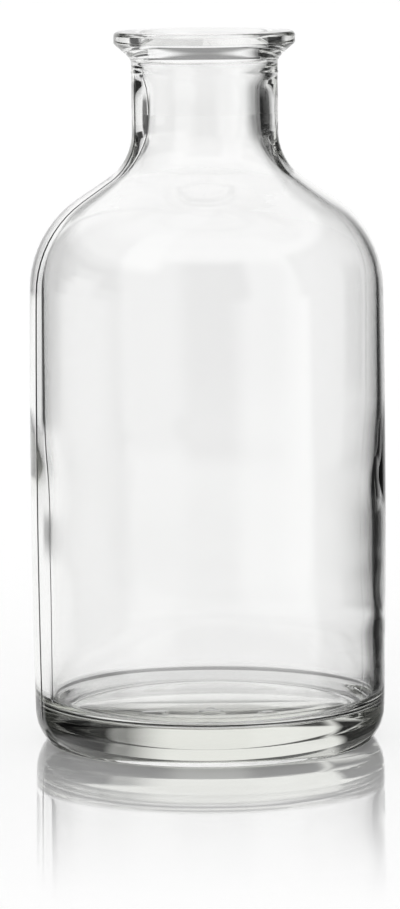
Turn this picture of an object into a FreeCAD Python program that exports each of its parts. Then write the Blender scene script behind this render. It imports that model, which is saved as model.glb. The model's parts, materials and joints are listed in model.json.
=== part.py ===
"""Pharmacy bottle: one blown piece of clear glass, with a flared mouth for a stopper.

Millimetres and degrees. The origin is the middle of the base on the surface that the
bottle stands on, +Z is up. The outside is one turned profile. The cavity is another,
turned about an axis a little to the right, because the glass was blown thinner there.
"""
import FreeCAD, Part
import math
import os
import Sketcher

SIZES = [
    ("total_height", 161.5, "base to the top of the lip"),
    ("body_radius", 40.5, "widest point of the body"),
    ("bow_radius", 2700.0, "the mould's slight barrel"),
    ("bow_height", 58.0, "height of the widest point"),
    ("shoulder_radius", 24.8, "outer shoulder, convex"),
    ("shoulder_slope", 33.6, "below level, between the two outer arcs"),
    ("neck_fillet", 12.9, "outside, neck into shoulder"),
    ("neck_length", 22.5, "top of the lip to where the neck begins to flare"),
    ("bore_radius", 14.6, "inside of the mouth, the straight part"),
    ("bore_round", 12.0, "straight part into the narrower neck"),
    ("waist_bore", 12.3, "narrowest inside of the neck"),
    ("waist_drop", 18.2, "top of the lip to that narrowest place"),
    ("waist_radius", 20.0, "curve of the narrow part, down to the inner slope"),
    ("neck_wall", 1.95, "neck"),
    ("lip_reach", 3.95, "lip beyond the neck"),
    ("lip_band", 2.9, "height of the lip's outer edge with its roundings"),
    ("lip_top_round", 1.0, "upper outer edge"),
    ("lip_lower_round", 0.8, "lower outer edge"),
    ("lip_slope", 42.0, "below level, underside of the lip"),
    ("lip_fillet", 3.0, "underside of the lip into the neck"),
    ("mouth_round", 1.2, "inner edge of the mouth"),
    ("ring_drop", 9.1, "top of the lip to the line left by the mouth mould"),
    ("ring_section", 0.4, "radius of that line's section"),
    ("ring_proud", 0.16, "how far that line stands out"),
    ("heel_radius", 10.1, "outer curve at the foot of the body"),
    ("heel_inset", 3.5, "body to the outer edge of the ring it stands on"),
    ("bearing_width", 3.4, "ring it stands on"),
    ("bearing_round", 0.8, "both edges of that ring"),
    ("recess_depth", 2.4, "underside recess"),
    ("recess_lean", 2.6, "how far the recess wall leans in"),
    ("recess_round", 1.6, "recess wall into its flat"),
    ("upper_wall", 2.6, "mean wall of the body's upper half"),
    ("wall_gain", 1.2, "how much thicker the lower half is"),
    ("step_height", 64.5, "middle of the change of wall"),
    ("step_radius", 110.0, "both arcs of the change of wall"),
    ("inner_heel", 3.6, "inside, wall into floor"),
    ("base_glass", 8.3, "glass under the lowest line of the inside floor"),
    ("floor_rise", 2.6, "how far the inside floor domes up"),
    ("cavity_shift", 0.6, "cavity axis to the right of the outside's"),
    ("mark_reach", 14.0, "row of raised marks, in front of the middle"),
    ("mark_spacing", 12.5, "between neighbouring marks"),
    ("bar_width", 5.2, "left mark"),
    ("bar_depth", 6.0, "left mark"),
    ("large_dot", 5.4, "diameter, middle mark"),
    ("small_dot", 3.0, "diameter, right mark"),
    ("mark_height", 0.45, "marks, raised from the recess"),
]
SHEET = "Sizes"
NODE = "bottle"
OVERRUN = 1.0  # the cavity's outline runs on past the mouth
FINE = 0.001  # two edges this close are the same
RIGHT = -1  # of the way from the first circle's centre to the second's


class Sizes:
    """The driving dimensions, as numbers for the first shape of each outline."""

    def __init__(self):
        for name, value, _ in SIZES:
            setattr(self, name, value)
        self.neck_radius = self.bore_radius + self.neck_wall
        self.lip_radius = self.neck_radius + self.lip_reach
        self.neck_base = self.total_height - self.neck_length
        self.bearing_radius = self.body_radius - self.heel_inset
        self.recess_radius = self.bearing_radius - self.bearing_width
        self.slope = math.radians(self.shoulder_slope)
        self.lip_angle = math.radians(self.lip_slope)


def bound(text):
    """Turns each {size} of an expression into the sheet's cell."""
    return text.replace("{", SHEET + ".").replace("}", "")


NECK_RADIUS = "({bore_radius} + {neck_wall})"
LIP_RADIUS = "({bore_radius} + {neck_wall} + {lip_reach})"
NECK_BASE = "({total_height} - {neck_length})"
BEARING_RADIUS = "({body_radius} - {heel_inset})"
RECESS_RADIUS = "({body_radius} - {heel_inset} - {bearing_width})"


def make_sheet(doc):
    """One row for each driving dimension: name, value, note."""
    sheet = doc.addObject("Spreadsheet::Sheet", SHEET)
    for row, (name, value, note) in enumerate(SIZES, start=1):
        sheet.set("A%d" % row, name)
        sheet.set("B%d" % row, str(value))
        sheet.set("C%d" % row, note)
        sheet.setAlias("B%d" % row, name)
    doc.recompute()


def add(a, b, scale=1.0):
    return (a[0] + scale * b[0], a[1] + scale * b[1])


def circles_meet(centre_a, radius_a, centre_b, radius_b, side):
    """Where two circles meet, on the side given of the way from a to b."""
    gap = math.dist(centre_a, centre_b)
    along = (gap**2 + radius_a**2 - radius_b**2) / (2 * gap)
    across = side * math.sqrt(radius_a**2 - along**2)
    way = ((centre_b[0] - centre_a[0]) / gap, (centre_b[1] - centre_a[1]) / gap)
    return add(add(centre_a, way, along), (-way[1], way[0]), across)


class Outline:
    """A closed outline in a sketch, drawn end to end, with its sizes bound to the sheet."""

    START, END, CENTRE = 1, 2, 3
    UPRIGHT, LEVEL, ORIGIN = -2, -1, -1  # the sketch's own axes and its origin

    def __init__(self, sketch):
        self.sketch = sketch
        self.parts = {}  # for each piece, the points that the outline enters and leaves it by

    def rule(self, *terms):
        return self.sketch.addConstraint(Sketcher.Constraint(*terms))

    def bind(self, kind, terms, value, expression):
        index = self.rule(kind, *terms, value)
        self.sketch.setExpression("Constraints[%d]" % index, bound(expression))

    def line(self, start, end):
        ends = [FreeCAD.Vector(p[0], p[1], 0) for p in (start, end)]
        number = self.sketch.addGeometry(Part.LineSegment(*ends), False)
        self.parts[number] = (self.START, self.END)
        return number

    def arc(self, centre, start, end, turn, expression=None):
        """turn is "left" or "right" as the outline runs; a sketch's own arcs all turn left."""
        first, last = (start, end) if turn == "left" else (end, start)
        angles = [math.atan2(p[1] - centre[1], p[0] - centre[0]) for p in (first, last)]
        if angles[1] < angles[0]:
            angles[1] += 2 * math.pi
        radius = math.dist(centre, start)
        circle = Part.Circle(FreeCAD.Vector(*centre, 0), FreeCAD.Vector(0, 0, 1), radius)
        number = self.sketch.addGeometry(Part.ArcOfCircle(circle, *angles), False)
        ends = (self.START, self.END)
        self.parts[number] = ends if turn == "left" else ends[::-1]
        if expression:
            self.bind("Radius", (number,), radius, expression)
        return number

    def circle(self, centre, radius, expression):
        circle = Part.Circle(FreeCAD.Vector(*centre, 0), FreeCAD.Vector(0, 0, 1), radius)
        number = self.sketch.addGeometry(circle, False)
        self.bind("Radius", (number,), radius, expression)
        return number

    def join(self, corners):
        """Joins each piece to the next, in a tangent unless it is one of the corners."""
        numbers = list(self.parts)
        for number, following in zip(numbers, numbers[1:] + numbers[:1]):
            kind = "Coincident" if number in corners else "Tangent"
            self.rule(kind, number, self.parts[number][1], following, self.parts[following][0])

    def across(self, number, point, value, expression):
        self.bind("DistanceX", (self.ORIGIN, 1, number, point), value, expression)

    def up(self, number, point, value, expression):
        self.bind("DistanceY", (self.ORIGIN, 1, number, point), value, expression)

    def on(self, number, point, axis):
        self.rule("PointOnObject", number, point, axis)


def new_sketch(body, name, role):
    plane = [f for f in body.Origin.OriginFeatures if f.Role == role][0]
    sketch = body.newObject("Sketcher::SketchObject", name)
    sketch.AttachmentSupport = [(plane, "")]
    sketch.MapMode = "FlatFace"
    return sketch


def turned(body, kind, name, sketch):
    """A full turn of a sketch about its own upright axis."""
    feature = body.newObject(kind, name)
    feature.Profile = sketch
    feature.ReferenceAxis = (sketch, ["V_Axis"])
    feature.Angle = 360.0
    body.Document.recompute()
    return feature


def outside(body, z):
    """The outside as one solid, from the underside recess up to the lip."""
    o = Outline(new_sketch(body, "OutsideOutline", "XZ_Plane"))
    bow = (z.body_radius - z.bow_radius, z.bow_height)
    foot = (z.bearing_radius, 0.0)
    heel_reach = z.bow_radius - z.heel_radius
    heel = circles_meet(foot, z.heel_radius, bow, heel_reach, RIGHT)
    heel_top = add(bow, add(heel, bow, -1), z.bow_radius / heel_reach)

    # shoulder: a straight slope between a hollow arc above and a full one below
    down = (math.cos(z.slope), -math.sin(z.slope))
    outwards = (math.sin(z.slope), math.cos(z.slope))
    flare = (z.neck_radius + z.neck_fillet, z.neck_base)
    slope_top = add(flare, outwards, -z.neck_fillet)
    reach = z.bow_radius - z.shoulder_radius
    way = add(add(slope_top, outwards, -z.shoulder_radius), bow, -1)
    along = way[0] * down[0] + way[1] * down[1]
    run = math.sqrt(along**2 - way[0] ** 2 - way[1] ** 2 + reach**2) - along
    slope_foot = add(slope_top, down, run)
    shoulder = add(slope_foot, outwards, -z.shoulder_radius)
    body_top = add(bow, add(shoulder, bow, -1), z.bow_radius / reach)

    # lip: a flange with a sloping underside and a rounded outer edge
    under = (math.sin(z.lip_angle), -math.cos(z.lip_angle))
    lip_foot_height = z.total_height - z.lip_band
    lower = (z.lip_radius - z.lip_lower_round, lip_foot_height - z.lip_lower_round * under[1])
    lip_foot = add(lower, under, z.lip_lower_round)
    hollow_x = z.neck_radius + z.lip_fillet
    rise = ((hollow_x - lip_foot[0]) * under[0] - z.lip_fillet) / -under[1]
    hollow = (hollow_x, lip_foot[1] + rise)
    neck_top = (z.neck_radius, hollow[1])
    upper = (z.lip_radius - z.lip_top_round, z.total_height - z.lip_top_round)

    panel_edge = (z.recess_radius - z.recess_lean, z.recess_depth)
    panel = o.line((0, z.recess_depth), panel_edge)
    side = o.line(panel_edge, (z.recess_radius, 0))
    bearing = o.line((z.recess_radius, 0), foot)
    o.arc(heel, foot, heel_top, "left", "{heel_radius}")
    wall = o.arc(bow, heel_top, body_top, "left", "{bow_radius}")
    o.arc(shoulder, body_top, slope_foot, "left", "{shoulder_radius}")
    slope = o.line(slope_foot, slope_top)
    flare_arc = o.arc(flare, slope_top, (z.neck_radius, z.neck_base), "right", "{neck_fillet}")
    neck = o.line((z.neck_radius, z.neck_base), neck_top)
    o.arc(hollow, neck_top, add(hollow, under, -z.lip_fillet), "right", "{lip_fillet}")
    underside = o.line(add(hollow, under, -z.lip_fillet), lip_foot)
    o.arc(lower, lip_foot, (z.lip_radius, lower[1]), "left", "{lip_lower_round}")
    band = o.line((z.lip_radius, lower[1]), (z.lip_radius, upper[1]))
    o.arc(upper, (z.lip_radius, upper[1]), (upper[0], z.total_height), "left", "{lip_top_round}")
    top = o.line((upper[0], z.total_height), (0, z.total_height))
    axis = o.line((0, z.total_height), (0, z.recess_depth))

    o.join(corners={panel, side, bearing, top, axis})
    for number in (panel, bearing, top):
        o.rule("Horizontal", number)
    for number in (neck, band, axis):
        o.rule("Vertical", number)
    o.on(axis, o.START, o.UPRIGHT)
    o.on(bearing, o.START, o.LEVEL)
    o.up(panel, o.START, z.recess_depth, "{recess_depth}")
    o.across(panel, o.END, panel_edge[0], RECESS_RADIUS + " - {recess_lean}")
    o.across(bearing, o.START, z.recess_radius, RECESS_RADIUS)
    o.across(bearing, o.END, z.bearing_radius, BEARING_RADIUS)
    o.bind("DistanceX", (wall, o.CENTRE, o.ORIGIN, 1), -bow[0], "{bow_radius} - {body_radius}")
    o.up(wall, o.CENTRE, bow[1], "{bow_height}")
    o.bind("Angle", (slope,), math.pi - z.slope, "(180 - {shoulder_slope}) * 1 deg")
    o.up(flare_arc, o.CENTRE, z.neck_base, NECK_BASE)
    o.across(neck, o.START, z.neck_radius, NECK_RADIUS)
    o.bind("Angle", (underside,), z.lip_angle, "{lip_slope} * 1 deg")
    o.up(underside, o.END, lip_foot_height, "{total_height} - {lip_band}")
    o.across(band, o.START, z.lip_radius, LIP_RADIUS)
    o.up(top, o.END, z.total_height, "{total_height}")
    return turned(body, "PartDesign::Revolution", "Outside", o.sketch)


def mould_ring(body, z):
    """The fine line round the neck where the mouth mould met the body mould."""
    o = Outline(new_sketch(body, "RingOutline", "XZ_Plane"))
    middle = (z.neck_radius + z.ring_proud - z.ring_section, z.total_height - z.ring_drop)
    ring = o.circle(middle, z.ring_section, "{ring_section}")
    o.across(ring, o.CENTRE, middle[0], NECK_RADIUS + " + {ring_proud} - {ring_section}")
    o.up(ring, o.CENTRE, middle[1], "{total_height} - {ring_drop}")
    return turned(body, "PartDesign::Revolution", "MouldRing", o.sketch)


def cavity(body, z):
    """The inside: domed floor, two thicknesses of wall, shoulder, bore and mouth."""
    o = Outline(new_sketch(body, "CavityOutline", "XZ_Plane"))
    shift = FreeCAD.Vector(z.cavity_shift, 0, 0)
    o.sketch.AttachmentOffset = FreeCAD.Placement(shift, FreeCAD.Rotation())
    o.sketch.setExpression(".AttachmentOffset.Base.x", bound("{cavity_shift} * 1 mm"))
    high = z.body_radius - z.upper_wall
    low = high - z.wall_gain

    # floor: a shallow dome that meets the inner heel in a tangent
    heel = (low - z.inner_heel, z.base_glass + z.inner_heel)
    floor_top = (0, z.base_glass + z.floor_rise)
    squares = heel[0] ** 2 + (z.inner_heel - z.floor_rise) ** 2 - z.inner_heel**2
    dome = (0, floor_top[1] - squares / (2 * z.floor_rise))
    gap = math.dist(heel, dome)
    floor_edge = add(heel, add(dome, heel, -1), z.inner_heel / gap)

    # change of wall: two arcs that lead the inside outwards and upright again
    half_run = math.sqrt(z.step_radius * z.wall_gain - z.wall_gain**2 / 4)
    step = [(low, z.step_height - half_run), ((low + high) / 2, z.step_height), (high, z.step_height + half_run)]
    step_centres = (low + z.step_radius, step[0][1]), (high - z.step_radius, step[2][1])

    # neck: a straight bore, then a waist whose curve runs on into the shoulder's slope
    outwards = (math.sin(z.slope), math.cos(z.slope))
    waist = (z.waist_bore + z.waist_radius, z.total_height - z.waist_drop)
    slope_top = add(waist, outwards, -z.waist_radius)
    reach = z.bore_round + z.waist_radius
    entry_x = z.bore_radius - z.bore_round
    entry = (entry_x, waist[1] + math.sqrt(reach**2 - (waist[0] - entry_x) ** 2))
    waist_top = add(entry, add(waist, entry, -1), z.bore_round / reach)
    radius = z.shoulder_radius - z.upper_wall
    drop = (radius + (high - radius - slope_top[0]) * outwards[0]) / outwards[1]
    shoulder = (high - radius, slope_top[1] - drop)
    slope_foot = add(shoulder, outwards, radius)
    mouth = (z.bore_radius + z.mouth_round, z.total_height - z.mouth_round)
    clear = z.total_height + OVERRUN

    floor = o.arc(dome, floor_top, floor_edge, "right")
    heel_arc = o.arc(heel, floor_edge, (low, heel[1]), "left", "{inner_heel}")
    lower_wall = o.line((low, heel[1]), step[0])
    first_arc = o.arc(step_centres[0], step[0], step[1], "right", "{step_radius}")
    o.arc(step_centres[1], step[1], step[2], "left", "{step_radius}")
    upper_wall = o.line(step[2], (high, shoulder[1]))
    o.arc(shoulder, (high, shoulder[1]), slope_foot, "left", "{shoulder_radius} - {upper_wall}")
    slope = o.line(slope_foot, slope_top)
    waist_arc = o.arc(waist, slope_top, waist_top, "right", "{waist_radius}")
    o.arc(entry, waist_top, (z.bore_radius, entry[1]), "left", "{bore_round}")
    bore = o.line((z.bore_radius, entry[1]), (z.bore_radius, mouth[1]))
    mouth_edge = (mouth[0], z.total_height)
    mouth_arc = o.arc(mouth, (z.bore_radius, mouth[1]), mouth_edge, "right", "{mouth_round}")
    rise = o.line(mouth_edge, (mouth[0], clear))
    lid = o.line((mouth[0], clear), (0, clear))
    axis = o.line((0, clear), floor_top)

    o.join(corners={mouth_arc, rise, lid, axis})
    for number in (lower_wall, upper_wall, bore, rise, axis):
        o.rule("Vertical", number)
    o.rule("Horizontal", lid)
    o.on(axis, o.START, o.UPRIGHT)
    o.on(floor, o.CENTRE, o.UPRIGHT)
    o.up(axis, o.END, floor_top[1], "{base_glass} + {floor_rise}")
    o.up(heel_arc, o.CENTRE, heel[1], "{base_glass} + {inner_heel}")
    o.across(lower_wall, o.START, low, "{body_radius} - {upper_wall} - {wall_gain}")
    o.up(first_arc, o.START, z.step_height, "{step_height}")
    o.across(upper_wall, o.START, high, "{body_radius} - {upper_wall}")
    o.bind("Angle", (slope,), math.pi - z.slope, "(180 - {shoulder_slope}) * 1 deg")
    o.up(waist_arc, o.CENTRE, waist[1], "{total_height} - {waist_drop}")
    o.across(waist_arc, o.CENTRE, waist[0], "{waist_bore} + {waist_radius}")
    o.across(bore, o.START, z.bore_radius, "{bore_radius}")
    o.up(mouth_arc, o.CENTRE, mouth[1], "{total_height} - {mouth_round}")
    o.across(rise, o.START, mouth[0], "{bore_radius} + {mouth_round}")
    o.up(lid, o.START, clear, "{total_height} + %g" % OVERRUN)
    return turned(body, "PartDesign::Groove", "Cavity", o.sketch)


def rounded(body, name, circles, radius_name, z):
    """Rounds level circular edges of the body's tip, each given by radius and height."""
    tip = body.Tip
    names = []
    for index, edge in enumerate(tip.Shape.Edges, start=1):
        if not isinstance(edge.Curve, Part.Circle) or len(edge.Vertexes) > 1:
            continue
        size = (edge.Curve.Radius, edge.Curve.Center.z)
        if any(math.dist(size, circle) < FINE for circle in circles):
            names.append("Edge%d" % index)
    if len(names) != len(circles):
        raise RuntimeError("%s found %d edges of %d" % (name, len(names), len(circles)))
    fillet = body.newObject("PartDesign::Fillet", name)
    fillet.Base = (tip, names)
    fillet.Radius = getattr(z, radius_name)
    fillet.setExpression("Radius", bound("{%s}" % radius_name))
    body.Document.recompute()
    return fillet


def marks(body, z):
    """Three plain raised marks under the base: a bar, a large dot and a small one."""
    o = Outline(new_sketch(body, "MarkOutlines", "XY_Plane"))
    lift = FreeCAD.Vector(0, 0, z.recess_depth)
    o.sketch.AttachmentOffset = FreeCAD.Placement(lift, FreeCAD.Rotation())
    o.sketch.setExpression(".AttachmentOffset.Base.z", bound("{recess_depth} * 1 mm"))
    row = -z.mark_reach
    left, right = -z.mark_spacing - z.bar_width / 2, -z.mark_spacing + z.bar_width / 2
    near, far = row - z.bar_depth / 2, row + z.bar_depth / 2
    base = o.line((left, near), (right, near))
    end = o.line((right, near), (right, far))
    back = o.line((right, far), (left, far))
    start = o.line((left, far), (left, near))
    o.join(corners={base, end, back, start})
    for number in (base, back):
        o.rule("Horizontal", number)
    for number in (end, start):
        o.rule("Vertical", number)
    away = (Outline.ORIGIN, 1)
    o.bind("DistanceX", (base, o.START, *away), -left, "{mark_spacing} + {bar_width} / 2")
    o.bind("DistanceY", (base, o.START, *away), -near, "{mark_reach} + {bar_depth} / 2")
    o.bind("DistanceX", (base, o.START, base, o.END), z.bar_width, "{bar_width}")
    o.bind("DistanceY", (end, o.START, end, o.END), z.bar_depth, "{bar_depth}")
    large = o.circle((0, row), z.large_dot / 2, "{large_dot} / 2")
    small = o.circle((z.mark_spacing, row), z.small_dot / 2, "{small_dot} / 2")
    o.on(large, o.CENTRE, o.UPRIGHT)
    o.bind("DistanceY", (large, o.CENTRE, *away), z.mark_reach, "{mark_reach}")
    o.bind("DistanceY", (small, o.CENTRE, *away), z.mark_reach, "{mark_reach}")
    o.across(small, o.CENTRE, z.mark_spacing, "{mark_spacing}")
    pad = body.newObject("PartDesign::Pad", "Marks")
    pad.Profile = o.sketch
    pad.Reversed = True
    pad.Length = z.mark_height
    pad.setExpression("Length", bound("{mark_height}"))
    body.Document.recompute()
    return pad


def expect(grows, body, step, z):
    """Runs one step and stops if the glass didn't gain or lose volume as it should."""
    before = body.Shape.Volume if body.Tip else 0.0
    step(body, z)
    change = body.Shape.Volume - before
    if (change > 0) != grows:
        raise RuntimeError("%s changed the volume by %g" % (step.__name__, change))
    return abs(change)


def bearing_edges(body, z):
    circles = [(z.bearing_radius, 0.0), (z.recess_radius, 0.0)]
    rounded(body, "BearingRound", circles, "bearing_round", z)


def recess_edge(body, z):
    circles = [(z.recess_radius - z.recess_lean, z.recess_depth)]
    rounded(body, "RecessRound", circles, "recess_round", z)


def make_bottle(doc, z):
    body = doc.addObject("PartDesign::Body", "Bottle")
    body.Label = NODE
    expect(True, body, outside, z)
    expect(True, body, mould_ring, z)
    expect(False, body, bearing_edges, z)
    recess_edge(body, z)
    contents = expect(False, body, cavity, z)
    expect(True, body, marks, z)
    body.Placement = FreeCAD.Placement()
    doc.recompute()
    print("brimful %.0f ml, glass %.1f ml" % (contents / 1000, body.Shape.Volume / 1000))
    return body


def check(doc, body):
    for item in doc.Objects:
        if "Invalid" in item.State or "Error" in item.State:
            raise RuntimeError("%s failed: %s" % (item.Name, item.State))
        if item.isDerivedFrom("Sketcher::SketchObject") and item.solve() != 0:
            raise RuntimeError("%s does not solve" % item.Name)
    if body.Shape.isNull() or not body.Shape.isValid() or len(body.Shape.Solids) != 1:
        raise RuntimeError("%s is not one valid solid" % body.Label)


def main():
    doc = FreeCAD.newDocument("PharmacyBottle")
    make_sheet(doc)
    body = make_bottle(doc, Sizes())
    check(doc, body)
    os.makedirs("parts", exist_ok=True)
    body.Shape.Solids[0].exportStep("parts/%s.step" % body.Label)


main()
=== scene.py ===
"""Pharmacy bottle in clear flint glass, on a glossy white studio table.

Lengths are in metres, in the part's own frame: base on the table, +Z up, -Y towards the
camera. The bottle is one closed wall of glass: an outside and a cavity that was blown a
little off centre. Its section is drawn as lines and arcs and turned by Geometry Nodes.
"""
import json
import math

import bpy
from mathutils import Matrix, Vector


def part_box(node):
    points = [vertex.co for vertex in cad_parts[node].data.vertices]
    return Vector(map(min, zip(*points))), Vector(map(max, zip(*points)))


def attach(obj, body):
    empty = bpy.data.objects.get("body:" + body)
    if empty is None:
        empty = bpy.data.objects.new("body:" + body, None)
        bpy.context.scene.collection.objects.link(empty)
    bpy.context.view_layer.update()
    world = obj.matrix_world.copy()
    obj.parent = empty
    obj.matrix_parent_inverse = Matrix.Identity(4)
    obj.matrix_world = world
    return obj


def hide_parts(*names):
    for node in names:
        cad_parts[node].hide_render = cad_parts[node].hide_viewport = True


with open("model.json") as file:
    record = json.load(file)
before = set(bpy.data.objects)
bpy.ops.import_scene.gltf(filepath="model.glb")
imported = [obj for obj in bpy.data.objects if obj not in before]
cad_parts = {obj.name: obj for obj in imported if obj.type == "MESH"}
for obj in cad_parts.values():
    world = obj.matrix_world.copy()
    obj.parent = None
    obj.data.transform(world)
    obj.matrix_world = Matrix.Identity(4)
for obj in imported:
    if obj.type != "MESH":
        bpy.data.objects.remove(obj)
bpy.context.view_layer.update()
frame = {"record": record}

MM = 0.001

# Overall sizes, from the frame
LOW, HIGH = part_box("bottle")
HEIGHT = HIGH[2]
BODY_R = (HIGH[1] - LOW[1]) / 2
MOUTH = next(m for m in frame["record"]["mounts"] if m["name"] == "mouth")
BORE_R = MOUTH["dims"]["r_mm"] * MM
CAVITY_SHIFT = MOUTH["pos_m"][0]

# The section's other sizes
BOW_R, BOW_Z = 2700 * MM, 58 * MM
SHOULDER_R, SHOULDER_SLOPE = 24.8 * MM, math.radians(33.6)
NECK_WALL, NECK_FILLET, NECK_LENGTH = 1.95 * MM, 12.9 * MM, 22.5 * MM
LIP_REACH, LIP_BAND, LIP_SLOPE = 3.95 * MM, 2.9 * MM, math.radians(42)
LIP_TOP_ROUND, LIP_LOWER_ROUND, LIP_FILLET = 1.0 * MM, 0.8 * MM, 3.0 * MM
MOUTH_ROUND = 1.2 * MM
WAIST_BORE, WAIST_DROP = 12.6 * MM, 18.2 * MM
BORE_ROUND, WAIST_UPPER, WAIST_LOWER = 28 * MM, 28 * MM, 20 * MM
RING_DROP, RING_HALF, RING_PROUD = 9.1 * MM, 0.32 * MM, 0.16 * MM
HEEL_R, HEEL_INSET = 10.1 * MM, 3.5 * MM
BEARING_WIDTH, BEARING_ROUND = 3.4 * MM, 0.8 * MM
RECESS_DEPTH, RECESS_LEAN, RECESS_ROUND = 2.4 * MM, 2.6 * MM, 1.6 * MM
UPPER_WALL, WALL_GAIN = 2.6 * MM, 1.2 * MM
STEP_Z, STEP_R = 64.5 * MM, 110 * MM
INNER_HEEL, BASE_GLASS, FLOOR_RISE = 3.6 * MM, 8.3 * MM, 2.6 * MM

# Marks raised under the base: half width, half length and place across. A dot has no length
MARKS = (
    (2.6 * MM, 3.0 * MM, -12.5 * MM),
    (2.7 * MM, 0.0, 0.0),
    (1.5 * MM, 0.0, 12.5 * MM),
)
MARK_REACH, MARK_HEIGHT, MARK_EDGE = 14 * MM, 0.45 * MM, 0.7 * MM

# Waves that the blowing left in the cavity's wall: height, length, turns round and phase
WAVES = ((0.16 * MM, 31 * MM, 1, 0.4), (0.07 * MM, 17 * MM, 2, 2.1))
WAVES_LOW, WAVES_HIGH, WAVES_FADE = 14 * MM, 78 * MM, 14 * MM
WAVES_LEFT, WAVES_RIGHT = 0.25, 1.0

# The two mould seams, on opposite sides: turn from +X, heights, half width, ends and fade
SEAM_AT, SEAM_LEFT, SEAM_RIGHT, SEAM_HALF = math.radians(17.5), 0.13 * MM, 0.04 * MM, 0.55 * MM
SEAM_LOW, SEAM_HIGH, SEAM_FADE = 5 * MM, 152 * MM, 4 * MM

# The cavity comes back past the middle in the neck: between these heights, to this share
SHIFT_FADES, NECK_SHIFT = (100 * MM, 132 * MM), -0.1

# How finely the glass is divided, and how much more closely at the seams and at the marks
SEGMENTS = 280
SEAM_CROWD, MARK_CROWD = 0.75, 0.4
LONG_STEP, WALL_STEP, FINE_STEP, MARK_STEP = 2.4 * MM, 1.1 * MM, 0.4 * MM, 0.3 * MM
MARKS_FROM, MARKS_TO = 11 * MM, 23 * MM
ARC_STEP = math.radians(6)
WELD = 0.002 * MM

# Soda-lime flint glass
GLASS_IOR, GLASS_TINT, GLASS_DENSITY = 1.52, "#d3d6c6", 7.0

# The table: half its side, how blurred its mirror is, where the mirror fades and its strength
TABLE_HALF, TABLE_BLUR = 12.0, 0.03
MIRROR_NEAR, MIRROR_FAR, MIRROR_LEVEL = 30 * MM, 180 * MM, 0.7
TABLE_GLOW = 0.035

# The studio as the glass sees it, in degrees: white panels between black cards, a softbox above.
# Each panel: its soft left, right, lower and upper edges, and how bright
NO_EDGE_BELOW, NO_EDGE_ABOVE = (-91, -90), (91, 92)
BACK_LEFT, BACK_RIGHT, BACK_FADES, FADING_LEVEL = (-42, -35), (8, 28), (24, 29), 0.3
PANELS = (
    (BACK_LEFT, BACK_RIGHT, NO_EDGE_BELOW, NO_EDGE_ABOVE, 1.0),
    (BACK_LEFT, BACK_FADES, NO_EDGE_BELOW, NO_EDGE_ABOVE, FADING_LEVEL),
    ((-150, -140), BACK_LEFT, (22, 29), NO_EDGE_ABOVE, 1.0),
    ((-104, -98), (-82, -74), NO_EDGE_BELOW, (10, 14), 1.0),
    ((112, 122), (148, 158), NO_EDGE_BELOW, (40, 60), 1.0),
)
OVERHEAD, OVERHEAD_LEVEL = (34, 42), 0.82
DARK_LEVEL = 0.02
# The gap between the back panel and the softbox: its heights, then each stretch's soft left
# and right edges and the share of light that it leaves
GAP_UP = ((18, 20), (26, 28))
GAPS = (
    ((-38, -30), (60, 61), 0.3),
    ((-38, -30), (-14, -5), 0.2),
    ((6, 15), (60, 61), 0.2),
)
# Painted shade on the table, for rays that come through or off the glass only: a painted contact
# shadow round the bottle's foot and painted dark flags further out. Each zone: soft left and right
# edges in degrees, soft near and far edges in metres from the bottle's axis, and how dark
NEAR_ALL, FAR_ALL = (-2, -1), (90, 91)
ALL_ROUND = ((-182, -181), (181, 182))
PAINTED_TABLE_SHADE = (
    (BACK_RIGHT, (108, 116), (0.15, 0.35), FAR_ALL, 1 - FADING_LEVEL),
    (BACK_FADES, (108, 116), (0.15, 0.35), FAR_ALL, 1.0),
    ((22, 31), (108, 116), (0.15, 0.3), (0.85, 1.3), 1.0),
    ((26, 40), (108, 116), (0.03, 0.1), FAR_ALL, 1.0),
    # painted contact shadow, all round the bottle's foot
    (*ALL_ROUND, NEAR_ALL, (0.035, 0.085), 0.8),
    ((-124, -112), (-74, -62), NEAR_ALL, (0.07, 0.12), 0.9),
    ((-66, -56), (-30, -15), NEAR_ALL, (0.06, 0.1), 1.0),
    ((-70, -60), BACK_LEFT, (0.25, 0.55), FAR_ALL, 0.95),
    ((152, 170), (181, 182), (0.12, 0.45), FAR_ALL, 1.0),
    ((-182, -181), (-132, -100), (0.12, 0.45), FAR_ALL, 1.0),
)

# Camera: the photo's, worked out from the lip's, neck's and base's ellipses
CAMERA_FAR, CAMERA_HIGH = 6.6 * HEIGHT, 1.295 * HEIGHT
CAMERA_DIP, CAMERA_ROLL, CAMERA_YAW = math.radians(7.69), math.radians(-0.53), math.radians(0.097)
LENS, SENSOR = 186.8, 36.0


def srgb(code):
    """An sRGB hex colour as linear red, green, blue and alpha."""
    values = [int(code[i:i + 2], 16) / 255 for i in (1, 3, 5)]
    linear = [v / 12.92 if v <= 0.04045 else ((v + 0.055) / 1.055) ** 2.4 for v in values]
    return (*linear, 1.0)


def node(tree, kind, inputs=(), **settings):
    """Adds a node. inputs pairs a socket's name or number with a value or a link."""
    made = tree.nodes.new(kind)
    for name, value in settings.items():
        setattr(made, name, value)
    for key, value in dict(inputs).items():
        if isinstance(value, bpy.types.NodeSocket):
            tree.links.new(value, made.inputs[key])
        else:
            made.inputs[key].default_value = value
    return made


def maths(tree, operation, a, b=0.0, c=0.0, clamp=False):
    values = {0: a, 1: b, 2: c}
    return node(tree, "ShaderNodeMath", values, operation=operation, use_clamp=clamp).outputs[0]


def eased(tree, value, start, end, low=0.0, high=1.0):
    """low before start, high after end, and a smooth way between."""
    names = {"Value": value, "From Min": start, "From Max": end, "To Min": low, "To Max": high}
    return node(tree, "ShaderNodeMapRange", names, interpolation_type="SMOOTHSTEP").outputs[0]


def between(tree, value, rise, fall):
    """1 between two soft edges, each given as its start and end, and 0 outside them."""
    return maths(tree, "MULTIPLY", eased(tree, value, *rise), eased(tree, value, *fall, 1.0, 0.0))


# The section: points (radius, height), joined by lines and arcs

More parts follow.
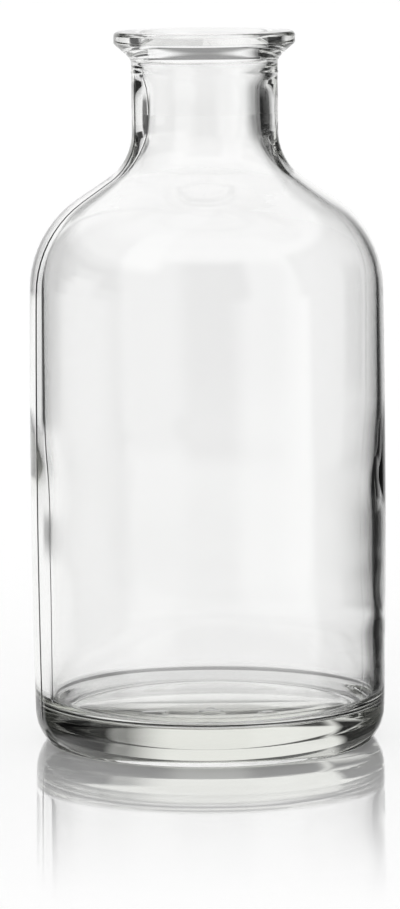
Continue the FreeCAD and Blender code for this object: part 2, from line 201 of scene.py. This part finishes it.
def plus(a, b, scale=1.0):
    return (a[0] + scale * b[0], a[1] + scale * b[1])


def unit(a):
    return (a[0] / math.hypot(*a), a[1] / math.hypot(*a))


def circles_meet(a, a_radius, b, b_radius):
    """The meeting point of two circles that lies to the right of the way from a to b."""
    way, far = unit(plus(b, a, -1)), math.dist(a, b)
    along = (far**2 + a_radius**2 - b_radius**2) / (2 * far)
    aside = math.sqrt(a_radius**2 - along**2)
    return (a[0] + along * way[0] + aside * way[1], a[1] + along * way[1] - aside * way[0])


def turned_from(centre, angle, radius):
    return (centre[0] + radius * math.cos(angle), centre[1] + radius * math.sin(angle))


class Section:
    """A row of points. Each line or arc starts at the last one."""

    def __init__(self, start):
        self.points = [start]

    def line(self, end, step=LONG_STEP):
        start = self.points[-1]
        count = max(1, round(math.dist(start, end) / step))
        way = (end[0] - start[0], end[1] - start[1])
        self.points += [plus(start, way, k / count) for k in range(1, count + 1)]

    def arc(self, centre, end, turn, step=LONG_STEP):
        """turn is 1 to the left as the section runs, -1 to the right."""
        start = self.points[-1]
        first = math.atan2(start[1] - centre[1], start[0] - centre[0])
        last = math.atan2(end[1] - centre[1], end[0] - centre[0])
        sweep = turn * ((turn * (last - first)) % (2 * math.pi))
        radius = math.dist(centre, end)
        count = max(2, math.ceil(abs(sweep) / ARC_STEP), round(abs(sweep) * radius / step))
        angles = [first + sweep * k / count for k in range(1, count + 1)]
        self.points += [turned_from(centre, a, radius) for a in angles]

    def rounded(self, corner, towards, radius):
        """A line that turns at the corner, with an arc in place of the corner."""
        back, on = unit(plus(self.points[-1], corner, -1)), unit(plus(towards, corner, -1))
        half = math.acos(back[0] * on[0] + back[1] * on[1]) / 2
        middle = plus(corner, unit(plus(back, on)), radius / math.sin(half))
        turn = 1 if back[0] * on[1] - back[1] * on[0] < 0 else -1
        self.line(plus(corner, back, radius / math.tan(half)))
        self.arc(middle, plus(corner, on, radius / math.tan(half)), turn)


def outside_section():
    """From the middle of the underside, round the heel and shoulder, to the top of the lip."""
    neck_r = BORE_R + NECK_WALL
    lip_r = neck_r + LIP_REACH
    bow = (BODY_R - BOW_R, BOW_Z)

    # foot: the heel's arc, a small rounding, and the ring that the bottle stands on
    edge = BODY_R - HEEL_INSET
    heel = circles_meet((edge, 0.0), HEEL_R, bow, BOW_R - HEEL_R)
    heel_top = plus(bow, plus(heel, bow, -1), BOW_R / (BOW_R - HEEL_R))
    foot_run = math.sqrt((HEEL_R - BEARING_ROUND) ** 2 - (heel[1] - BEARING_ROUND) ** 2)
    foot = (heel[0] + foot_run, BEARING_ROUND)
    heel_foot = plus(heel, plus(foot, heel, -1), HEEL_R / (HEEL_R - BEARING_ROUND))
    inner_foot = (edge - BEARING_WIDTH, 0.0)
    panel = (inner_foot[0] - RECESS_LEAN, RECESS_DEPTH)

    # shoulder: a straight slope between a hollow arc and a full one
    down = (math.cos(SHOULDER_SLOPE), -math.sin(SHOULDER_SLOPE))
    out = (math.sin(SHOULDER_SLOPE), math.cos(SHOULDER_SLOPE))
    neck_base = HEIGHT - NECK_LENGTH
    flare = (neck_r + NECK_FILLET, neck_base)
    slope_top = plus(flare, out, -NECK_FILLET)
    reach = BOW_R - SHOULDER_R
    way = plus(plus(slope_top, out, -SHOULDER_R), bow, -1)
    along = way[0] * down[0] + way[1] * down[1]
    run = math.sqrt(along**2 - way[0] ** 2 - way[1] ** 2 + reach**2) - along
    slope_foot = plus(slope_top, down, run)
    shoulder = plus(slope_foot, out, -SHOULDER_R)
    body_top = plus(bow, plus(shoulder, bow, -1), BOW_R / reach)

    # lip: a flange with a sloping underside
    under = (math.sin(LIP_SLOPE), -math.cos(LIP_SLOPE))
    lower = (lip_r - LIP_LOWER_ROUND, HEIGHT - LIP_BAND - LIP_LOWER_ROUND * under[1])
    lip_foot = plus(lower, under, LIP_LOWER_ROUND)
    hollow_x = neck_r + LIP_FILLET
    rise = ((hollow_x - lip_foot[0]) * under[0] - LIP_FILLET) / -under[1]
    hollow = (hollow_x, lip_foot[1] + rise)
    upper = (lip_r - LIP_TOP_ROUND, HEIGHT - LIP_TOP_ROUND)
    ring_z = HEIGHT - RING_DROP

    s = Section((0.0, RECESS_DEPTH))
    s.line((MARKS_FROM, RECESS_DEPTH))
    s.line((MARKS_TO, RECESS_DEPTH), MARK_STEP)
    s.rounded(panel, inner_foot, RECESS_ROUND)
    s.rounded(inner_foot, (foot[0], 0.0), BEARING_ROUND)
    s.line((foot[0], 0.0))
    s.arc(foot, heel_foot, 1)
    s.arc(heel, heel_top, 1)
    s.arc(bow, body_top, 1)
    s.arc(shoulder, slope_foot, 1)
    s.line(slope_top)
    s.arc(flare, (neck_r, neck_base), -1)
    s.line((neck_r, ring_z - RING_HALF))
    s.line((neck_r + RING_PROUD, ring_z), FINE_STEP)
    s.line((neck_r, ring_z + RING_HALF), FINE_STEP)
    s.line((neck_r, hollow[1]))
    s.arc(hollow, plus(hollow, under, -LIP_FILLET), -1)
    s.line(lip_foot)
    s.arc(lower, (lip_r, lower[1]), 1)
    s.line((lip_r, upper[1]))
    s.arc(upper, (upper[0], HEIGHT), 1)
    return s.points


def cavity_section():
    """From the mouth's rounding down the bore, the shoulder and the wall, to the floor."""
    # wall and floor
    high = BODY_R - UPPER_WALL
    low = high - WALL_GAIN
    heel = (low - INNER_HEEL, BASE_GLASS + INNER_HEEL)
    floor_top = (0.0, BASE_GLASS + FLOOR_RISE)
    squares = heel[0] ** 2 + (INNER_HEEL - FLOOR_RISE) ** 2 - INNER_HEEL**2
    dome = (0.0, floor_top[1] - squares / (2 * FLOOR_RISE))
    floor_edge = plus(heel, plus(dome, heel, -1), INNER_HEEL / math.dist(heel, dome))
    half_run = math.sqrt(STEP_R * WALL_GAIN - WALL_GAIN**2 / 4)

    # bore: its arcs above and below the waist, and the shoulder's inner arc
    out = (math.sin(SHOULDER_SLOPE), math.cos(SHOULDER_SLOPE))
    waist = (WAIST_BORE, HEIGHT - WAIST_DROP)
    above, below = plus(waist, (WAIST_UPPER, 0.0)), plus(waist, (WAIST_LOWER, 0.0))
    slope_top = plus(below, out, -WAIST_LOWER)
    entry_x, reach = BORE_R - BORE_ROUND, BORE_ROUND + WAIST_UPPER
    entry = (entry_x, above[1] + math.sqrt(reach**2 - (above[0] - entry_x) ** 2))
    radius = SHOULDER_R - UPPER_WALL
    drop = (radius + (high - radius - slope_top[0]) * out[0]) / out[1]
    shoulder = (high - radius, slope_top[1] - drop)
    mouth = (BORE_R + MOUTH_ROUND, HEIGHT - MOUTH_ROUND)

    s = Section((mouth[0], HEIGHT))
    s.arc(mouth, (BORE_R, mouth[1]), 1)
    s.line((BORE_R, entry[1]))
    s.arc(entry, plus(entry, plus(above, entry, -1), BORE_ROUND / reach), -1, WALL_STEP)
    s.arc(above, waist, 1, WALL_STEP)
    s.arc(below, slope_top, 1)
    s.line(plus(shoulder, out, radius))
    s.arc(shoulder, (high, shoulder[1]), -1)
    s.line((high, STEP_Z + half_run), WALL_STEP)
    s.arc((high - STEP_R, STEP_Z + half_run), ((low + high) / 2, STEP_Z), -1, WALL_STEP)
    s.arc((low + STEP_R, STEP_Z - half_run), (low, STEP_Z - half_run), 1, WALL_STEP)
    s.line((low, heel[1]), WALL_STEP)
    s.arc(heel, floor_edge, -1)
    s.arc(dome, floor_top, 1)
    return s.points


def section_mesh():
    """The whole section as a chain of points; inside is 1 on the cavity's points."""
    outside, cavity = outside_section(), cavity_section()
    points = outside + cavity
    mesh = bpy.data.meshes.new("section")
    edges = [(k, k + 1) for k in range(len(points) - 1)]
    mesh.from_pydata([(r, 0.0, z) for r, z in points], edges, [])
    inside = mesh.attributes.new("inside", "FLOAT", "POINT")
    inside.data.foreach_set("value", [0.0] * len(outside) + [1.0] * len(cavity))
    made = bpy.data.objects.new("section", mesh)
    bpy.context.collection.objects.link(made)
    return made


# Geometry Nodes: the section turned, and what is moved on it

def spun(tree, vector, angle):
    """The vector turned about the outside's axis."""
    inputs = {"Vector": vector, "Angle": angle}
    return node(tree, "ShaderNodeVectorRotate", inputs, rotation_type="Z_AXIS").outputs[0]


def added(tree, a, b):
    return node(tree, "ShaderNodeVectorMath", {0: a, 1: b}, operation="ADD").outputs[0]


def from_section(tree, section, value, row, kind):
    """The value that the section's point in that row has."""
    inputs = {0: section, 1: value, 2: row}
    return node(tree, "GeometryNodeSampleIndex", inputs, data_type=kind).outputs[0]


def crowded_turn(tree, column, segments):
    """Each column's turn round the axis, with the columns closer at the marks and the seams."""
    even = maths(tree, "MULTIPLY", maths(tree, "DIVIDE", column, segments), 2 * math.pi)
    angle = maths(tree, "MULTIPLY_ADD", maths(tree, "COSINE", even), -MARK_CROWD, even)
    crowd = maths(tree, "SINE", maths(tree, "MULTIPLY_ADD", angle, 2.0, -2 * SEAM_AT))
    return maths(tree, "MULTIPLY_ADD", crowd, -SEAM_CROWD / 2, angle)


def fading(tree, height, low, high, fade):
    """1 between two heights, going evenly to 0 within the fade at each end."""
    rise = maths(tree, "DIVIDE", maths(tree, "SUBTRACT", height, low), fade, clamp=True)
    fall = maths(tree, "DIVIDE", maths(tree, "SUBTRACT", high, height), fade, clamp=True)
    return maths(tree, "MULTIPLY", rise, fall)


def wall_waves(tree, angle, height, strength):
    """How far out the waves move the cavity's wall."""
    wave = 0.0
    for tall, long, turns, phase in WAVES:
        around = maths(tree, "MULTIPLY_ADD", angle, float(turns), phase)
        phase_here = maths(tree, "MULTIPLY_ADD", height, 2 * math.pi / long, around)
        wave = maths(tree, "MULTIPLY_ADD", maths(tree, "COSINE", phase_here), tall, wave)
    middle, swing = (WAVES_RIGHT + WAVES_LEFT) / 2, (WAVES_RIGHT - WAVES_LEFT) / 2
    side = maths(tree, "MULTIPLY_ADD", maths(tree, "COSINE", angle), swing, middle)
    wave = maths(tree, "MULTIPLY", maths(tree, "MULTIPLY", wave, side), strength)
    return maths(tree, "MULTIPLY", wave, fading(tree, height, WAVES_LOW, WAVES_HIGH, WAVES_FADE))


def seam_rise(tree, place):
    """How far out the two mould seams stand."""
    aside = maths(tree, "MULTIPLY", place["Y"], -math.cos(SEAM_AT))
    across = maths(tree, "MULTIPLY_ADD", place["X"], math.sin(SEAM_AT), aside)
    narrow = maths(tree, "DIVIDE", across, SEAM_HALF)
    ridge = maths(tree, "SUBTRACT", 1.0, maths(tree, "MULTIPLY", narrow, narrow), clamp=True)
    ends = fading(tree, place["Z"], SEAM_LOW, SEAM_HIGH, SEAM_FADE)
    ridge = maths(tree, "MULTIPLY", maths(tree, "MULTIPLY", ridge, ridge), ends)
    left = maths(tree, "LESS_THAN", place["X"], 0.0)
    tall = maths(tree, "MULTIPLY_ADD", left, SEAM_LEFT - SEAM_RIGHT, SEAM_RIGHT)
    return maths(tree, "MULTIPLY", ridge, tall)


def marks_share(tree, place):
    """1 on a mark and 0 beside it, with the half way point of its soft edge on its outline."""
    raised = 0.0
    for half, length, middle in MARKS:
        dx = maths(tree, "SUBTRACT", place["X"], middle)
        dy = maths(tree, "ADD", place["Y"], MARK_REACH)
        if length:
            wide = maths(tree, "SUBTRACT", maths(tree, "ABSOLUTE", dx), half)
            deep = maths(tree, "SUBTRACT", maths(tree, "ABSOLUTE", dy), length)
            gap = maths(tree, "MAXIMUM", wide, deep)
        else:
            dy_square = maths(tree, "MULTIPLY", dy, dy)
            squares = maths(tree, "ADD", maths(tree, "MULTIPLY", dx, dx), dy_square)
            gap = maths(tree, "SUBTRACT", maths(tree, "SQRT", squares), half)
        here = maths(tree, "MULTIPLY_ADD", gap, -1 / MARK_EDGE, 0.5, clamp=True)
        raised = maths(tree, "MAXIMUM", raised, here)
    return raised


def turning_tree():
    """Turns the section to one closed wall, with the cavity a little to one side."""
    tree = bpy.data.node_groups.new("turned_glass", "GeometryNodeTree")
    for name, kind, way in (
        ("Geometry", "NodeSocketGeometry", "INPUT"),
        ("Segments", "NodeSocketInt", "INPUT"),
        ("Cavity shift", "NodeSocketFloat", "INPUT"),
        ("Waves", "NodeSocketFloat", "INPUT"),
        ("Glass", "NodeSocketMaterial", "INPUT"),
        ("Geometry", "NodeSocketGeometry", "OUTPUT"),
    ):
        tree.interface.new_socket(name, in_out=way, socket_type=kind)
    given = node(tree, "NodeGroupInput").outputs
    section = given["Geometry"]

    # a grid with a row for each point of the section, and one more column to close it
    domain = node(tree, "GeometryNodeAttributeDomainSize", {0: section}, component="MESH")
    count = domain.outputs[0]
    columns = maths(tree, "ADD", given["Segments"], 1.0)
    grid = node(tree, "GeometryNodeMeshGrid", {"Vertices X": columns, "Vertices Y": count})
    index = node(tree, "GeometryNodeInputIndex").outputs[0]
    row = maths(tree, "MODULO", index, count)
    column = maths(tree, "FLOOR", maths(tree, "DIVIDE", index, count))
    angle = crowded_turn(tree, column, given["Segments"])

    # the section's points, turned
    position = node(tree, "GeometryNodeInputPosition").outputs[0]
    inside = node(tree, "GeometryNodeInputNamedAttribute", {"Name": "inside"}, data_type="FLOAT")
    point = from_section(tree, section, position, row, "FLOAT_VECTOR")
    within = from_section(tree, section, inside.outputs[0], row, "FLOAT")
    without = maths(tree, "SUBTRACT", 1.0, within)
    turned = spun(tree, point, angle)
    place = node(tree, "ShaderNodeSeparateXYZ", {0: turned}).outputs
    height = place["Z"]

    # sideways: the cavity's shift. Outwards: its waves, and the seams on the outside
    share = eased(tree, height, *SHIFT_FADES, 1.0, NECK_SHIFT)
    aside = maths(tree, "MULTIPLY", maths(tree, "MULTIPLY", within, share), given["Cavity shift"])
    shift = node(tree, "ShaderNodeCombineXYZ", {"X": aside}).outputs[0]
    wave = wall_waves(tree, angle, height, given["Waves"])
    seam = maths(tree, "MULTIPLY", seam_rise(tree, place), without)
    grown = maths(tree, "MULTIPLY_ADD", wave, within, seam)
    outwards = {0: spun(tree, (1, 0, 0), angle), "Scale": grown}
    swell = node(tree, "ShaderNodeVectorMath", outwards, operation="SCALE").outputs[0]
    placed = added(tree, turned, added(tree, shift, swell))

    # down: the marks, on the flat of the underside
    under = maths(tree, "LESS_THAN", height, RECESS_DEPTH + WELD)
    under = maths(tree, "MULTIPLY", under, without)
    marked = maths(tree, "MULTIPLY", marks_share(tree, place), under)
    drop = maths(tree, "MULTIPLY", marked, -MARK_HEIGHT)
    placed = added(tree, placed, node(tree, "ShaderNodeCombineXYZ", {"Z": drop}).outputs[0])

    moved = node(tree, "GeometryNodeSetPosition", {"Geometry": grid.outputs[0], "Position": placed})
    to_weld = {"Geometry": moved.outputs[0], "Distance": WELD}
    welded = node(tree, "GeometryNodeMergeByDistance", to_weld).outputs[0]
    smooth = node(tree, "GeometryNodeSetShadeSmooth", {"Geometry": welded}).outputs[0]
    real = node(tree, "GeometryNodeRealizeInstances", {"Geometry": smooth}).outputs[0]
    to_paint = {"Geometry": real, "Material": given["Glass"]}
    painted = node(tree, "GeometryNodeSetMaterial", to_paint).outputs[0]
    node(tree, "NodeGroupOutput", {0: painted})
    return tree


def set_input(modifier, name, value):
    for item in modifier.node_group.interface.items_tree:
        if item.in_out == "INPUT" and item.name == name:
            modifier[item.identifier] = value


def glass_bottle(glass):
    maker = section_mesh()
    modifier = maker.modifiers.new("turned", "NODES")
    modifier.node_group = turning_tree()
    set_input(modifier, "Segments", SEGMENTS)
    set_input(modifier, "Cavity shift", CAVITY_SHIFT)
    set_input(modifier, "Waves", 1.0)
    set_input(modifier, "Glass", glass)
    evaluated = maker.evaluated_get(bpy.context.evaluated_depsgraph_get())
    mesh = bpy.data.meshes.new_from_object(evaluated)
    bpy.data.objects.remove(maker)
    mesh.name = "glass_bottle"
    made = bpy.data.objects.new("glass_bottle", mesh)
    bpy.context.collection.objects.link(made)
    return made


def empty_material(name):
    material = bpy.data.materials.new(name)
    material.use_nodes = True
    material.node_tree.nodes.clear()
    return material


def flint_glass():
    """Blown soda-lime flint glass: clear and bright, with a grey-green cast where it is thick."""
    material = empty_material("flint_glass")
    tree = material.node_tree
    clear = {
        "Base Color": srgb("#ffffff"),
        "Roughness": 0.0,
        "IOR": GLASS_IOR,
        "Transmission Weight": 1.0,
    }
    cast = {"Color": srgb(GLASS_TINT), "Density": GLASS_DENSITY}
    surface = node(tree, "ShaderNodeBsdfPrincipled", clear).outputs[0]
    depth = node(tree, "ShaderNodeVolumeAbsorption", cast).outputs[0]
    node(tree, "ShaderNodeOutputMaterial", {"Surface": surface, "Volume": depth})
    return material


def bearing(tree, vector):
    """A vector's compass angle in degrees, 0 away from the camera, its level length and its rise."""
    parts = node(tree, "ShaderNodeSeparateXYZ", {0: vector}).outputs
    east, north = parts["X"], parts["Y"]
    turn = maths(tree, "MULTIPLY", maths(tree, "ARCTAN2", east, north), math.degrees(1))
    north_square = maths(tree, "MULTIPLY", north, north)
    squares = maths(tree, "MULTIPLY_ADD", east, east, north_square)
    return turn, maths(tree, "SQRT", squares), parts["Z"]


def white_table():
    """A sheet of white acrylic: it mirrors the bottle's foot, and less so further out, with painted
    shade that only the glass sees.
    """
    material = empty_material("white_acrylic")
    tree = material.node_tree
    rays = node(tree, "ShaderNodeLightPath").outputs
    turn, far, _ = bearing(tree, node(tree, "ShaderNodeTexCoord").outputs["Object"])

    # painted shade: the dark zones, only for rays that come through or off the glass
    through = maths(tree, "MAXIMUM", rays["Is Transmission Ray"], rays["Is Glossy Ray"])
    painted_shade = 0.0
    for left, right, near, end, depth in PAINTED_TABLE_SHADE:
        here = between(tree, turn, left, right)
        here = maths(tree, "MULTIPLY", here, between(tree, far, near, end))
        painted_shade = maths(tree, "MAXIMUM", painted_shade, maths(tree, "MULTIPLY", here, depth))
    painted_shade = maths(tree, "MULTIPLY", maths(tree, "MULTIPLY", painted_shade, through), 1 - DARK_LEVEL)
    # the table's tone with the painted shade taken off
    shaded_tone = maths(tree, "SUBTRACT", 1.0, painted_shade)

    matt = node(tree, "ShaderNodeBsdfDiffuse", {"Color": shaded_tone}).outputs[0]
    gloss = {"Color": srgb("#ffffff"), "Roughness": TABLE_BLUR}
    shine = node(tree, "ShaderNodeBsdfGlossy", gloss).outputs[0]
    mirror = eased(tree, far, MIRROR_NEAR, MIRROR_FAR, MIRROR_LEVEL, 0.0)
    mixed = node(tree, "ShaderNodeMixShader", {0: mirror, 1: matt, 2: shine}).outputs[0]

    # a small glow brings the table up to the background's white, for the camera alone
    glow = maths(tree, "MULTIPLY", rays["Is Camera Ray"], TABLE_GLOW)
    lift = node(tree, "ShaderNodeEmission", {"Strength": glow}).outputs[0]
    whole = node(tree, "ShaderNodeAddShader", {0: mixed, 1: lift}).outputs[0]
    node(tree, "ShaderNodeOutputMaterial", {"Surface": whole})
    return material


def table_top():
    mesh = bpy.data.meshes.new("table")
    h = TABLE_HALF
    mesh.from_pydata([(-h, -h, 0), (h, -h, 0), (h, h, 0), (-h, h, 0)], [], [(0, 1, 2, 3)])
    mesh.materials.append(white_table())
    made = bpy.data.objects.new("table", mesh)
    bpy.context.collection.objects.link(made)


def studio_world():
    """Even white for the camera and the matt table, and the studio's panels for the glass."""
    world = bpy.data.worlds.new("studio")
    bpy.context.scene.world = world
    world.use_nodes = True
    tree = world.node_tree
    tree.nodes.clear()
    turn, level, up = bearing(tree, node(tree, "ShaderNodeTexCoord").outputs["Generated"])
    climb = maths(tree, "MULTIPLY", maths(tree, "ARCTAN2", up, level), math.degrees(1))
    bright = eased(tree, climb, *OVERHEAD, DARK_LEVEL, OVERHEAD_LEVEL)
    for left, right, lower, upper, strength in PANELS:
        height = maths(tree, "MULTIPLY", between(tree, climb, lower, upper), strength)
        here = maths(tree, "MULTIPLY", between(tree, turn, left, right), height)
        bright = maths(tree, "MAXIMUM", bright, here)
    gap_height = between(tree, climb, *GAP_UP)
    for left, right, left_over in GAPS:
        gap = maths(tree, "MULTIPLY", between(tree, turn, left, right), gap_height)
        kept = maths(tree, "MULTIPLY_ADD", gap, left_over - 1, 1.0)
        bright = maths(tree, "MULTIPLY", bright, kept)
    rays = node(tree, "ShaderNodeLightPath").outputs
    plain = maths(tree, "MAXIMUM", rays["Is Camera Ray"], rays["Is Diffuse Ray"])
    shown = maths(tree, "MAXIMUM", bright, plain)
    light = node(tree, "ShaderNodeBackground", {"Color": shown, "Strength": 1.0}).outputs[0]
    node(tree, "ShaderNodeOutputWorld", {0: light})


def camera():
    data = bpy.data.cameras.new("camera")
    data.lens, data.sensor_width = LENS, SENSOR
    made = bpy.data.objects.new("camera", data)
    bpy.context.collection.objects.link(made)
    turn = Matrix.Rotation(CAMERA_YAW, 4, "Z") @ Matrix.Rotation(math.pi / 2 - CAMERA_DIP, 4, "X")
    place = Matrix.Translation((0, -CAMERA_FAR, CAMERA_HIGH))
    made.matrix_world = place @ turn @ Matrix.Rotation(CAMERA_ROLL, 4, "Z")
    bpy.context.scene.camera = made


bottle = glass_bottle(flint_glass())
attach(bottle, "root")
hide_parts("bottle")
table_top()
studio_world()
camera()
bpy.context.scene.view_settings.view_transform = "Standard"

# Light goes round inside a thick glass wall many times before it leaves
cycles = bpy.context.scene.cycles
cycles.max_bounces, cycles.transmission_bounces, cycles.glossy_bounces = 32, 32, 24
